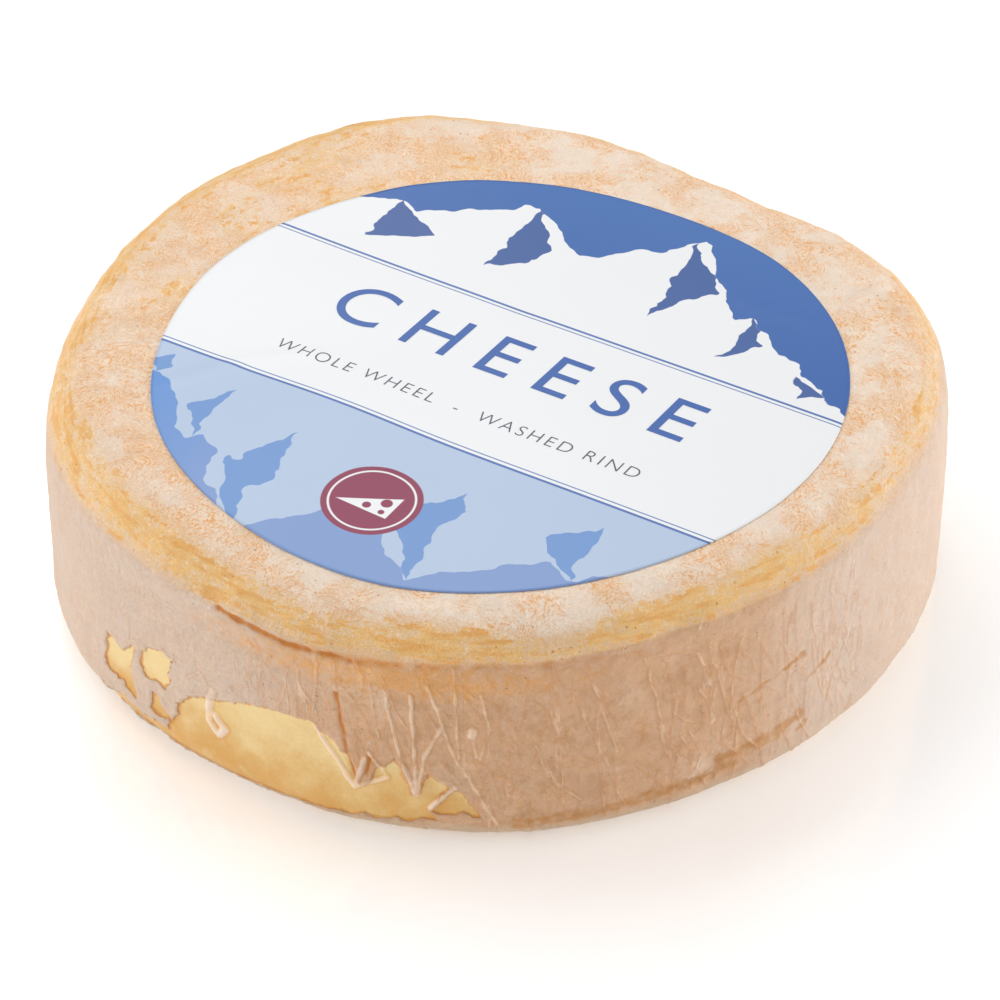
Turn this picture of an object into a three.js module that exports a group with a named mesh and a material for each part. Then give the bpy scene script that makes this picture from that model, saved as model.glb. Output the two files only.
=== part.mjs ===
// A small washed-rind cheese wheel with a round paper label stuck to its upper face.
//
// Frame: millimetres, +Z up. The wheel rests on Z = 0, the origin is the middle of its
// footprint, and -Y is the side that the label is read from. Angles are in degrees round
// +Z, counted from +X, so -90 is the reading side.
//
// The wheel is one pressed and ripened body, so it is one closed solid. Its section is a
// flat face, a rounded upper edge that overhangs the side here and there, a nearly straight
// side, and a rounded foot. Hand turning and soft shelves leave the section uneven round
// the wheel, and the short lists of swells below say where.
import * as THREE from "three";

// Overall sizes.
const WHEEL_DIAMETER = 250;
const WHEEL_HEIGHT = 76;
const UPPER_EDGE_RADIUS = 14;
const FOOT_EDGE_RADIUS = 9;

// The side: how far it stands out from the upper edge where no lip overhangs it, how tall
// the step between them is, and how far the foot has slumped outwards.
const SIDE_BULGE = 1.2;
const LIP_STEP_HEIGHT = 5;
const FOOT_SLUMP = 1;

// The label. It was set down off centre, and it keeps its margin from the rounded edge where
// the two come closest. The clearance is the hairline under the paper.
const LABEL_CENTRE = { x: 3.5, y: -14 };
const LABEL_MARGIN = 0.5;
const LABEL_THICKNESS = 0.3;
const LABEL_CLEARANCE = 0.3;

// Fineness of the solids.
const WHEEL_COLUMNS = 120;
const LABEL_COLUMNS = 72;
const FACE_RINGS = 7;
const EDGE_STEPS = 6;
const SIDE_STEPS = 7;
const BASE_RINGS = 4;
const LABEL_RINGS = 7;

// Uneven places, each at an angle, spreading some degrees to both sides. A positive amount
// in millimetres swells the outline, raises the upper edge, or deepens the lip.
const OUTLINE_SWELLS = [
  { at: 5, spread: 24, amount: 4.5 },
  { at: 50, spread: 20, amount: -6 },
  { at: 106, spread: 24, amount: 5 },
  { at: 162, spread: 22, amount: -3.5 },
];
const UPPER_EDGE_RISES = [
  { at: 50, spread: 22, amount: -2.5 },
  { at: 104, spread: 24, amount: 3 },
  { at: 145, spread: 22, amount: 2 },
  { at: -170, spread: 24, amount: -3.5 },
  { at: -104, spread: 30, amount: -5 },
];
const LIP_DEPTHS = [
  { at: -125, spread: 26, amount: 3.5 },
  { at: -60, spread: 26, amount: 3 },
];

const radians = THREE.MathUtils.degToRad;

/** Adds up a list of swells at an angle in degrees. */
function swellAt(swells, angle) {
  return swells.reduce((total, { at, spread, amount }) => {
    const turn = THREE.MathUtils.euclideanModulo(angle - at + 180, 360) - 180;
    return total + amount * Math.exp(-((turn / spread) ** 2));
  }, 0);
}

/** The wheel's outer radius at its upper edge. */
function outlineRadius(angle) {
  return WHEEL_DIAMETER / 2 + swellAt(OUTLINE_SWELLS, angle);
}

/** Height of the upper face over a place given as a radius and an angle. */
function faceHeight(radius, angle) {
  const share = Math.min(1, radius / (outlineRadius(angle) - UPPER_EDGE_RADIUS));
  return WHEEL_HEIGHT + swellAt(UPPER_EDGE_RISES, angle) * share ** 2;
}

/** Height of the upper face over a place given as x and y. */
function faceHeightAt(x, y) {
  return faceHeight(Math.hypot(x, y), THREE.MathUtils.radToDeg(Math.atan2(y, x)));
}

/** Radii and heights of the wheel's section at an angle, from face middle to base middle. */
function wheelSection(angle) {
  const outer = outlineRadius(angle);
  const faceRadius = outer - UPPER_EDGE_RADIUS;
  const rimHeight = faceHeight(faceRadius, angle);
  const sideRadius = outer + SIDE_BULGE - swellAt(LIP_DEPTHS, angle);
  const footRadius = sideRadius + FOOT_SLUMP;
  const sideTop = rimHeight - UPPER_EDGE_RADIUS - LIP_STEP_HEIGHT;
  const section = [];

  for (let ring = 1; ring < FACE_RINGS; ring++) {
    const radius = (faceRadius * ring) / FACE_RINGS;
    section.push([radius, faceHeight(radius, angle)]);
  }
  for (let step = 0; step <= EDGE_STEPS; step++) {
    const turn = radians((90 * step) / EDGE_STEPS);
    section.push([
      faceRadius + UPPER_EDGE_RADIUS * Math.sin(turn),
      rimHeight - UPPER_EDGE_RADIUS * (1 - Math.cos(turn)),
    ]);
  }
  for (let step = 0; step <= SIDE_STEPS; step++) {
    const share = step / SIDE_STEPS;
    section.push([
      sideRadius + FOOT_SLUMP * share,
      THREE.MathUtils.lerp(sideTop, FOOT_EDGE_RADIUS, share),
    ]);
  }
  for (let step = 1; step <= EDGE_STEPS; step++) {
    const turn = radians((90 * step) / EDGE_STEPS);
    section.push([
      footRadius - FOOT_EDGE_RADIUS * (1 - Math.cos(turn)),
      FOOT_EDGE_RADIUS * (1 - Math.sin(turn)),
    ]);
  }
  for (let ring = BASE_RINGS - 1; ring > 0; ring--) {
    section.push([((footRadius - FOOT_EDGE_RADIUS) * ring) / BASE_RINGS, 0]);
  }
  return section;
}

/**
 * Closes a stack of rings into one surface. Each ring is an array of points that runs
 * counter-clockwise, and the two poles close the first and the last ring.
 */
function closedRings(firstPole, rings, lastPole) {
  const columns = rings[0].length;
  const points = [firstPole, ...rings.flat(), lastPole];
  const last = points.length - 1;
  const faces = [];
  const at = (ring, column) => 1 + ring * columns + (column % columns);
  for (let column = 0; column < columns; column++) {
    faces.push(0, at(0, column), at(0, column + 1));
    for (let ring = 0; ring < rings.length - 1; ring++) {
      const [a, b] = [at(ring, column), at(ring, column + 1)];
      const [c, d] = [at(ring + 1, column), at(ring + 1, column + 1)];
      faces.push(a, c, d, a, d, b);
    }
    faces.push(last, at(rings.length - 1, column + 1), at(rings.length - 1, column));
  }
  const geometry = new THREE.BufferGeometry().setFromPoints(points);
  geometry.setIndex(faces);
  geometry.computeVertexNormals();
  return geometry;
}

/** The whole wheel as one closed surface. */
function wheelGeometry() {
  const angles = Array.from({ length: WHEEL_COLUMNS }, (_, i) => (360 * i) / WHEEL_COLUMNS);
  const sections = angles.map(wheelSection);
  const rings = sections[0].map((_, ring) =>
    sections.map((section, column) => {
      const [radius, height] = section[ring];
      const turn = radians(angles[column]);
      return new THREE.Vector3(radius * Math.cos(turn), radius * Math.sin(turn), height);
    }),
  );
  const top = new THREE.Vector3(0, 0, faceHeight(0, 0));
  return closedRings(top, rings, new THREE.Vector3(0, 0, 0));
}

/** The label: a thin disc of paper that follows the face under it. */
function labelGeometry() {
  const place = (radius, turn, lift) => {
    const x = LABEL_CENTRE.x + radius * Math.cos(turn);
    const y = LABEL_CENTRE.y + radius * Math.sin(turn);
    return new THREE.Vector3(x, y, faceHeightAt(x, y) + lift);
  };
  const ring = (radius, lift) =>
    Array.from({ length: LABEL_COLUMNS }, (_, i) =>
      place(radius, (2 * Math.PI * i) / LABEL_COLUMNS, lift),
    );
  const offCentre = Math.hypot(LABEL_CENTRE.x, LABEL_CENTRE.y);
  const labelRadius = WHEEL_DIAMETER / 2 - UPPER_EDGE_RADIUS - offCentre - LABEL_MARGIN;
  const radii = Array.from(
    { length: LABEL_RINGS },
    (_, i) => (labelRadius * (i + 1)) / LABEL_RINGS,
  );
  const upper = LABEL_CLEARANCE + LABEL_THICKNESS;
  const rings = [
    ...radii.map((radius) => ring(radius, upper)),
    ...radii.toReversed().map((radius) => ring(radius, LABEL_CLEARANCE)),
  ];
  return closedRings(place(0, 0, upper), rings, place(0, 0, LABEL_CLEARANCE));
}

const rind = new THREE.MeshStandardMaterial({
  color: "#e9c39b",
  roughness: 0.62,
  metalness: 0,
});
const labelPaper = new THREE.MeshStandardMaterial({
  color: "#9fb4dd",
  roughness: 0.42,
  metalness: 0,
});

const cheeseWheel = new THREE.Mesh(wheelGeometry(), rind);
cheeseWheel.name = "cheese_wheel";
const label = new THREE.Mesh(labelGeometry(), labelPaper);
label.name = "label";

// The uneven outline is shifted so that the origin is the middle of the footprint's box.
const footprint = new THREE.Box3().setFromObject(cheeseWheel).getCenter(new THREE.Vector3());
const wheelWithLabel = new THREE.Group();
wheelWithLabel.add(cheeseWheel, label);
wheelWithLabel.position.set(-footprint.x, -footprint.y, 0);

export default wheelWithLabel;
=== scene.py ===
"""A washed-rind cheese wheel with a round paper label on its upper face.

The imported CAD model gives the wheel's true shape and place. This script models the visible
rind over it, with its folds, torn skin and dents, and the printed label, and dresses both.
Lengths are in millimetres until a mesh is handed over, and in metres after that. Angles are
in degrees round +Z, counted from +X, so -90 is the side that the label is read from.
"""

import logging
import math
import random
from collections.abc import Callable, Iterable, Sequence
from dataclasses import dataclass, field
from enum import Enum
from functools import partial

import bmesh
import bpy
import numpy as np
from mathutils import Matrix, Vector, noise
from mathutils.bvhtree import BVHTree


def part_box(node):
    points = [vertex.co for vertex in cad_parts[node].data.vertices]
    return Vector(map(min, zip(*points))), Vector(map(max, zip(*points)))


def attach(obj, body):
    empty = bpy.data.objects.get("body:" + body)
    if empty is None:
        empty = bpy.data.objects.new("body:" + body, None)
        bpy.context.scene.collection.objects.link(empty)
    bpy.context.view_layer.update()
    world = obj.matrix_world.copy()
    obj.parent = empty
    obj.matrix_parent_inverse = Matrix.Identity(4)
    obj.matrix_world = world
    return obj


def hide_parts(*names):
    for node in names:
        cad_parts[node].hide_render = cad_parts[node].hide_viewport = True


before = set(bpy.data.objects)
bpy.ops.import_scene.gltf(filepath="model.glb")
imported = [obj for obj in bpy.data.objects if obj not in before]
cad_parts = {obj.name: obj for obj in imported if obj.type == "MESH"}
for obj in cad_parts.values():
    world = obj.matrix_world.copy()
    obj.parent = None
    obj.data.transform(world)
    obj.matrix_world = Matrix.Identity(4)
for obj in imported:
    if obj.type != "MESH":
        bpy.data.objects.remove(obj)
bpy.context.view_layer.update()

LOG = logging.getLogger("cheese_wheel")
MM = 0.001
BODY = "root"
CAPITAL_SHARE = 0.73  # The height of the plain font's capitals, as a share of its size.
OVERHEAD = 0.2  # A height over the whole wheel, in metres, from which pieces are let down.
LIT_HEIGHT = 0.04  # The height that the lights face, in metres: about half the wheel's.
Point = tuple[float, float]


# --- Small tools -------------------------------------------------------------------------


def linear(code: str) -> tuple[float, float, float, float]:
    """Turns an sRGB hex colour into linear light.

    Args:
        code: The colour, such as "#F4D8BC".

    Returns:
        Red, green, blue and an alpha of one.
    """
    shares = [int(code[i : i + 2], 16) / 255 for i in (1, 3, 5)]
    light = [s / 12.92 if s <= 0.04045 else ((s + 0.055) / 1.055) ** 2.4 for s in shares]
    return (*light, 1.0)


def add_node(
    tree: bpy.types.NodeTree,
    kind: str,
    inputs: Sequence | dict = (),
    output: str | None = None,
    **settings: object,
) -> bpy.types.NodeSocket:
    """Adds one shader node with its settings and links.

    Args:
        tree: The material's node tree.
        kind: The node's type without its "ShaderNode" prefix.
        inputs: A value, a hex colour, or a socket to link, for each input: in order, or by
            name or number.
        output: The output to hand back, or None for the first one in use.
        settings: The node's own properties.

    Returns:
        The output.
    """
    node = tree.nodes.new("ShaderNode" + kind)
    for name, value in settings.items():
        setattr(node, name, value)
    chosen = inputs if isinstance(inputs, dict) else dict(enumerate(inputs))
    for key, value in chosen.items():
        if isinstance(value, bpy.types.NodeSocket):
            tree.links.new(value, node.inputs[key])
        else:
            node.inputs[key].default_value = linear(value) if isinstance(value, str) else value
    if output:
        return node.outputs[output]
    return next((socket for socket in node.outputs if socket.enabled), None)


def empty_material(name: str) -> bpy.types.Material:
    """Makes a node material with nothing in it.

    Args:
        name: The material's name.

    Returns:
        The material.
    """
    material = bpy.data.materials.new(name)
    material.use_nodes = True
    material.node_tree.nodes.clear()
    return material


def smooth_step(low: float, high: float, value: np.ndarray) -> np.ndarray:
    """Rises softly from zero at low to one at high.

    Args:
        low: Where the rise starts.
        high: Where it ends.
        value: The values to map.

    Returns:
        The risen values, from zero to one.
    """
    share = np.clip((value - low) / (high - low), 0.0, 1.0)
    return share * share * (3.0 - 2.0 * share)


def bump(value: np.ndarray, middle: float | np.ndarray, spread: float | np.ndarray) -> np.ndarray:
    """Is one at a middle value, and fades to zero on both sides of it.

    Args:
        value: The values to map.
        middle: The value that gives one.
        spread: How far from it about a third is left.

    Returns:
        The faded values, from zero to one.
    """
    return np.exp(-(((value - middle) / spread) ** 2))


def noise_at(points: np.ndarray, size: float, octaves: int = 3, shift: float = 0.0) -> np.ndarray:
    """Samples a fixed fractal noise.

    Args:
        points: Places in millimetres, one row each.
        size: The size of one lump in millimetres.
        octaves: How many finer layers the noise has.
        shift: Moves the pattern, so that two fields differ.

    Returns:
        One value from about -1 to 1 for each place.
    """
    scaled = points / size + shift
    return np.array([noise.fractal(Vector(p), 1.0, 2.0, octaves) for p in scaled])


def distance_to_line(places: np.ndarray, line: Sequence[Point]) -> np.ndarray:
    """Measures how far each place lies from an open chain of points.

    Args:
        places: Places on a flat plan, one row each.
        line: The chain's points on the same plan.

    Returns:
        One distance for each place.
    """
    best = np.full(len(places), np.inf)
    chain = np.array(line, float)
    for start, end in zip(chain[:-1], chain[1:]):
        run = end - start
        share = np.clip((places - start) @ run / max(run @ run, 1e-9), 0.0, 1.0)
        away = places - start - share[:, None] * run
        best = np.minimum(best, np.hypot(away[:, 0], away[:, 1]))
    return best


def distance_inside(places: np.ndarray, outline: Sequence[Point]) -> np.ndarray:
    """Measures how deep each place lies inside a closed outline.

    Args:
        places: Places on a flat plan, one row each.
        outline: The outline's corners, in order.

    Returns:
        The distance to the outline for each place, negative outside it.
    """
    ring = np.array([*outline, outline[0]], float)
    inside = np.zeros(len(places), bool)
    x, y = places.T
    for (x0, y0), (x1, y1) in zip(ring[:-1], ring[1:]):
        if y0 != y1:
            crosses = (y0 > y) != (y1 > y)
            inside ^= crosses & (x < (x1 - x0) * (y - y0) / (y1 - y0) + x0)
    away = distance_to_line(places, ring)
    return np.where(inside, away, -away)


def finish_mesh(shape: bmesh.types.BMesh, name: str, smooth: bool = True) -> bpy.types.Object:
    """Turns a bmesh in metres into a linked object at the origin.

    Args:
        shape: The bmesh, which is freed.
        name: The object's name.
        smooth: Whether the faces are shaded smoothly.

    Returns:
        The new object.
    """
    mesh = bpy.data.meshes.new(name)
    for face in shape.faces:
        face.smooth = smooth
    shape.to_mesh(mesh)
    shape.free()
    piece = bpy.data.objects.new(name, mesh)
    bpy.context.scene.collection.objects.link(piece)
    return piece


def bake_modifiers(piece: bpy.types.Object) -> None:
    """Applies the modifiers on a mesh object.

    Args:
        piece: The object, whose mesh is swapped for the finished one.
    """
    settled = piece.evaluated_get(bpy.context.evaluated_depsgraph_get())
    mesh = bpy.data.meshes.new_from_object(settled)
    old = piece.data
    piece.modifiers.clear()
    piece.data = mesh
    bpy.data.meshes.remove(old)
    mesh.name = piece.name


def points_of(mesh: bpy.types.Mesh) -> np.ndarray:
    """Reads a mesh's points.

    Args:
        mesh: The mesh.

    Returns:
        The points in millimetres, one row each.
    """
    flat = np.zeros(len(mesh.vertices) * 3)
    mesh.vertices.foreach_get("co", flat)
    return flat.reshape(-1, 3) / MM


def normals_of(mesh: bpy.types.Mesh) -> np.ndarray:
    """Reads a mesh's point normals.

    Args:
        mesh: The mesh.

    Returns:
        The normals, one row each.
    """
    flat = np.zeros(len(mesh.vertices) * 3)
    mesh.vertices.foreach_get("normal", flat)
    return flat.reshape(-1, 3)


def place_points(mesh: bpy.types.Mesh, points: np.ndarray) -> None:
    """Writes a mesh's points, given in millimetres."""
    mesh.vertices.foreach_set("co", (points * MM).ravel())
    mesh.update()


def store(mesh: bpy.types.Mesh, name: str, values: np.ndarray) -> None:
    """Keeps a value or a vector for each point as a mesh attribute.

    Args:
        mesh: The mesh.
        name: The attribute's name, which the materials read.
        values: One number or one row of three for each point.
    """
    kind, key = ("FLOAT", "value") if values.ndim == 1 else ("FLOAT_VECTOR", "vector")
    layer = mesh.attributes.new(name, kind, "POINT")
    layer.data.foreach_set(key, values.astype(np.float32).ravel())


def report(piece: bpy.types.Object) -> None:
    """Logs a finished piece with its triangle count."""
    triangles = sum(len(face.vertices) - 2 for face in piece.data.polygons)
    LOG.info("%s: %d triangles", piece.name, triangles)


# --- The rind ----------------------------------------------------------------------------


class Crease(Enum):
    """How a mark stands on the side of the wheel."""

    RIDGE = 1.0
    GROOVE = -1.0


@dataclass(frozen=True)
class Mark:
    """One fold or gash in the skin of the side.

    Attributes:
        line: Its points, each a turn in degrees and a height in millimetres.
        width: Its width in millimetres.
        lift: How far it stands out or is sunk, in millimetres.
        kind: Whether it is a ridge or a groove.
    """

    line: tuple[Point, ...]
    width: float = 1.6
    lift: float = 0.5
    kind: Crease = Crease.RIDGE


MARKS = (
    # The hook of rolled-up skin beside the torn patch, and the squiggle above it.
    Mark(((-126, 32), (-127, 25), (-127, 20), (-125.5, 17), (-124.5, 20), (-126, 23)), 2.0, 0.95),
    Mark(((-130, 32), (-128, 36), (-127, 33)), 1.1, 0.4),
    # The V and its flap, then the Y.
    Mark(((-112, 33), (-107, 16)), 1.6, 0.72),
    Mark(((-107, 16), (-105.5, 27)), 1.3, 0.64),
    Mark(((-107, 16), (-103, 21)), 1.5, 0.64),
    Mark(((-105, 29), (-103, 21)), 1.1, 0.48),
    Mark(((-103, 50), (-101.5, 30), (-99.5, 16)), 1.1, 0.64),
    Mark(((-100, 50), (-99.5, 16)), 1.0, 0.64),
    Mark(((-96.5, 40), (-98.5, 30), (-99.5, 16)), 1.1, 0.56),
    Mark(((-98, 12), (-95, 20)), 1.5, 0.72),
    # Long folds in the skin of the front.
    Mark(((-98, 54), (-95, 30), (-90, 8)), 1.1, 0.4),
    Mark(((-95, 60), (-94.5, 30)), 1.0, 0.36),
    Mark(((-115, 50), (-116, 38)), 1.0, 0.28),
    Mark(((-111, 56), (-112, 38)), 1.0, 0.32),
    Mark(((-109, 58), (-109, 44)), 1.0, 0.28),
    Mark(((-92, 52), (-91, 40), (-92, 30)), 1.0, 0.32),
    Mark(((-80, 60), (-76, 28)), 1.0, 0.32),
    Mark(((-73, 58), (-71, 42), (-70, 28)), 1.0, 0.36),
    Mark(((-66, 54), (-64, 42)), 1.0, 0.32),
    Mark(((-74, 60), (-66, 54)), 1.0, 0.2),
    Mark(((-93, 40), (-93, 38)), 2.0, 0.5),
    # Gashes, and the crease under the overhanging edge.
    Mark(((-109, 46), (-108, 30), (-107, 20)), 1.3, 0.9, Crease.GROOVE),
    Mark(((-105, 27), (-105.5, 21)), 1.2, 0.8, Crease.GROOVE),
    Mark(((-102, 27), (-100, 19)), 1.0, 0.5, Crease.GROOVE),
    Mark(((-124, 62), (-115, 59), (-107, 58)), 1.9, 1.1, Crease.GROOVE),
    Mark(((-107, 58), (-90, 61), (-74, 60)), 3.2, 0.4, Crease.GROOVE),
    Mark(((-60, 32), (-50, 38)), 1.6, 0.3, Crease.GROOVE),
)

# Where the skin has torn away from the golden rind: each a turn and a height.
TORN_PATCHES: tuple[tuple[Point, ...], ...] = (
    (
        (-131, 24), (-125, 30), (-117, 34), (-112, 34), (-108, 26), (-106, 16), (-104, 24),
        (-102, 28), (-100, 16), (-98, 24), (-95, 20), (-98, 12), (-97, 8), (-118, 4),
        (-147, 2), (-148, 8), (-134, 9),
    ),
    ((-95, 20), (-98, 11), (-92, 10)),
    ((-145, 29), (-146, 16), (-140, 12), (-140, 30), (-142, 26)),
    ((-136, 35), (-132, 35), (-134, 23), (-138, 23), (-138, 31)),
    ((-136, 19), (-132, 11), (-137, 13)),
)

# Brown stains on the side: a line and its width.
STAINS: tuple[tuple[tuple[Point, ...], float], ...] = (
    (((-60, 32), (-50, 38)), 2.4),
    (((-62, 14), (-54, 15), (-50, 18)), 6.0),
    (((-50, 12), (-49, 13)), 3.0),
    (((-49, 28), (-45, 32)), 3.0),
    (((-88, 8), (-60, 11)), 5.0),
)

# Rubbed creases in the upper face: a line on the plan, and its depth.
FACE_CREASES: tuple[tuple[tuple[Point, ...], float], ...] = (
    (((96, 10), (101, 18), (108, 26)), 0.28),
    (((84, 42), (93, 20)), 0.25),
    (((86, 50), (93, 44)), 0.25),
    (((-106, -23), (-96, -30)), 0.35),
    (((-112, -6), (-103, -12)), 0.25),
    (((-62, 92), (-50, 78)), 0.3),
    (((-88, 57), (-83, 50)), 0.25),
    (((-8, 108), (14, 104)), 0.3),
)


@dataclass(frozen=True)
class Dents:
    """One kind of unevenness in the pressed and ripened body.

    Attributes:
        size: How broad one dent is, in millimetres.
        lift: How far the surface moves, in millimetres.
        shift: Moves the pattern, so that two kinds differ.
    """

    size: float
    lift: float
    shift: float

    def at(self, points: np.ndarray) -> np.ndarray:
        """Samples the pattern, from about -1 to 1."""
        return noise_at(points, self.size, 3, self.shift)


@dataclass(frozen=True)
class GoldPlace:
    """A part of the rounded edge whose golden wear differs from the rest.

    Attributes:
        turn: Where it is, in degrees.
        spread: How far it spreads to both sides, in degrees.
        raised: How much higher on the edge the band lies, in degrees of the surface's tilt.
        wider: How much wider the band is, in the same degrees.
        stronger: How much stronger the gold is.
    """

    turn: float
    spread: float
    raised: float
    wider: float
    stronger: float


GOLD_PLACES = (
    # The front.
    GoldPlace(-84, 40, -10, -4, 0.25),
    # The left, and its back half.
    GoldPlace(-148, 34, 14, 9, 0.3),
    GoldPlace(165, 34, 14, 9, 0.3),
    # The right.
    GoldPlace(-14, 30, 6, 3, -0.28),
    # The back.
    GoldPlace(108, 34, 30, -5, 0.3),
)


@dataclass
class Rind:
    """The whole outside of the cheese.

    Attributes:
        node: The CAD node that it stands for.
        radius: The round blank's radius, before it is drawn onto the CAD shape.
        height: The blank's height.
        edge: The radius of the blank's rounded edges.
        cell: The size of a mesh face.
        flat_cells: Rows of faces under the label and on the base.
        label_radius: The radius within which the face is that coarse.
        fine_cuts: How many times a face of the front is cut each way.
        fine_turns: The turns between which the side is that fine.
        fine_heights: The heights between which it is.
        marked_turns: The turns between which the drawn marks lie.
        face_tilt: The tilt in degrees from which a surface belongs to the upper face.
        wrinkles: How many short wrinkles the front is given.
        seed: The seed of their places.
        lean: How far the slanting wrinkles lean, in degrees.
        lumps: The broad swells of the whole body.
        dents: The smaller dents in it.
        streaks: The streaks round the side.
        pits: The pits in the upper face.
        rim: The unevenness of the rounded edge.
        torn_depth: How deep the bare patches lie under the skin.
        fields: Where each point lies on the wheel, once it has been charted.
    """

    node: str = "cheese_wheel"
    radius: float = 126.0
    height: float = 76.0
    edge: float = 13.0
    cell: float = 2.0
    flat_cells: int = 6
    label_radius: float = 74.0
    fine_cuts: int = 3
    fine_turns: Point = (-151.0, -40.0)
    fine_heights: Point = (1.5, 66.0)
    marked_turns: Point = (-155.0, -30.0)
    face_tilt: float = 60.0
    wrinkles: int = 210
    seed: int = 41
    lean: float = 24.0
    lumps: Dents = Dents(46.0, 0.75, 3.0)
    dents: Dents = Dents(13.0, 0.28, 11.0)
    streaks: Dents = Dents(2.6, 0.16, 5.0)
    pits: Dents = Dents(6.0, 0.22, 17.0)
    rim: Dents = Dents(8.0, 0.35, 23.0)
    torn_depth: float = 0.6
    fields: dict[str, np.ndarray] = field(default_factory=dict)

    def guide(self) -> bpy.types.Object:
        """Makes a smooth copy of the CAD solid to draw the rind onto.

        Returns:
            The copy.
        """
        shape = bmesh.new()
        shape.from_mesh(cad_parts[self.node].data)
        bmesh.ops.remove_doubles(shape, verts=shape.verts, dist=0.01 * MM)
        bmesh.ops.join_triangles(
            shape,
            faces=shape.faces,
            angle_face_threshold=math.radians(40),
            angle_shape_threshold=math.radians(40),
        )
        guide = finish_mesh(shape, "rind_guide")
        rounding = guide.modifiers.new("rounding", "SUBSURF")
        rounding.levels = rounding.render_levels = 2
        bake_modifiers(guide)
        return guide

    def section(self) -> list[Point]:
        """Lists the blank's section from the face's middle to the base's middle.

        Returns:
            Radius and height pairs in millimetres.
        """
        inner = self.radius - self.edge
        turn_steps = round(math.pi / 2 * self.edge / self.cell)
        turns = [math.pi / 2 * step / turn_steps for step in range(turn_steps + 1)]
        flat = np.linspace(0.0, self.label_radius, self.flat_cells)
        ring = np.arange(self.label_radius + self.cell, inner - self.cell / 2, self.cell)
        sides = np.arange(self.height - self.edge - self.cell, self.edge + self.cell / 2, -self.cell)
        base = np.linspace(inner, 0.0, self.flat_cells)[1:]
        return [
            *((r, self.height) for r in (*flat, *ring)),
            *(
                (inner + self.edge * math.sin(t), self.height - self.edge * (1 - math.cos(t)))
                for t in turns
            ),
            *((self.radius, z) for z in sides),
            *(
                (inner + self.edge * math.cos(t), self.edge * (1 - math.sin(t)))
                for t in turns
            ),
            *((r, 0.0) for r in base),
        ]

    def blank(self) -> bpy.types.Object:
        """Spins the section into a closed blank whose front is finer than the rest.

        Returns:
            The blank.
        """
        shape = bmesh.new()
        corners = [shape.verts.new((r * MM, 0.0, z * MM)) for r, z in self.section()]
        edges = [shape.edges.new(pair) for pair in zip(corners[:-1], corners[1:])]
        bmesh.ops.spin(
            shape,
            geom=[*corners, *edges],
            cent=(0, 0, 0),
            axis=(0, 0, 1),
            angle=math.tau,
            steps=round(math.tau * self.radius / self.cell),
            use_merge=True,
        )
        bmesh.ops.remove_doubles(shape, verts=shape.verts, dist=0.01 * MM)
        low, high = (z * MM for z in self.fine_heights)
        first, last = (math.radians(turn) for turn in self.fine_turns)
        fine = [
            edge
            for edge in shape.edges
            if all(
                low < v.co.z < high
                and v.co.xy.length > (self.radius - self.edge) * MM
                and first < math.atan2(v.co.y, v.co.x) < last
                for v in edge.verts
            )
        ]
        bmesh.ops.subdivide_edges(shape, edges=fine, cuts=self.fine_cuts, use_grid_fill=True)
        bmesh.ops.recalc_face_normals(shape, faces=shape.faces)
        return finish_mesh(shape, "cheese_wheel_rind")

    def draw_on(self, rind: bpy.types.Object, guide: bpy.types.Object) -> None:
        """Draws the blank onto the guide's surface.

        Args:
            rind: The blank.
            guide: The smooth copy of the CAD solid, which is removed.
        """
        wrap = rind.modifiers.new("wrap", "SHRINKWRAP")
        wrap.target = guide
        wrap.wrap_method = "NEAREST_SURFACEPOINT"
        bake_modifiers(rind)
        old = guide.data
        bpy.data.objects.remove(guide)
        bpy.data.meshes.remove(old)

    def chart(self, points: np.ndarray, normals: np.ndarray) -> None:
        """Works out where each point lies on the wheel.

        Args:
            points: The points in millimetres.
            normals: Their normals.
        """
        x, y, z = points.T
        turn = np.degrees(np.arctan2(y, x))
        reach = np.hypot(x, y)
        tilt = np.degrees(np.arcsin(np.clip(normals[:, 2], -1.0, 1.0)))
        along = np.where(tilt > 0, reach, reach + self.height - z)
        along = np.where((tilt > 0) & (tilt < 89), reach + (self.height - z) * 0.8, along)
        around = np.radians(turn)
        twist = np.radians(self.lean) * along / self.radius
        self.fields = {
            "turn": turn,
            "height": z,
            "tilt": tilt,
            "grain": self.wound(around, along),
            "lean_left": self.wound(around + twist, along),
            "lean_right": self.wound(around - twist, along),
        }

    def wound(self, angle: np.ndarray, along: np.ndarray) -> np.ndarray:
        """Winds an angle and a length onto a cylinder, so that a pattern has no seam."""
        return np.column_stack([np.cos(angle) * self.radius, np.sin(angle) * self.radius, along])

    def side_plan(self, turn: np.ndarray, height: np.ndarray) -> np.ndarray:
        """Unrolls places on the side onto a flat plan in millimetres."""
        return np.column_stack([turn * math.pi / 180 * self.radius, height])

    def unroll(self, line: Iterable[Point]) -> list[Point]:
        """Unrolls a line of turns and heights onto the same plan."""
        return [(turn * math.pi / 180 * self.radius, height) for turn, height in line]

    def scattered_wrinkles(self) -> list[Mark]:
        """Draws the short steep wrinkles of the front from a fixed seed.

        Returns:
            The wrinkles.
        """
        draw = random.Random(self.seed)
        wrinkles = []
        for _ in range(self.wrinkles):
            turn = draw.uniform(-122, -38)
            top = draw.uniform(16, 60)
            run = draw.uniform(6, 24)
            lean = draw.gauss(1.2, 1.9)
            bow = draw.gauss(0.0, 0.6)
            line = ((turn, top), (turn + lean / 2 + bow, top - run / 2), (turn + lean, top - run))
            wrinkles.append(Mark(line, draw.uniform(0.7, 1.05), draw.uniform(0.08, 0.3)))
        return wrinkles

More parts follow.
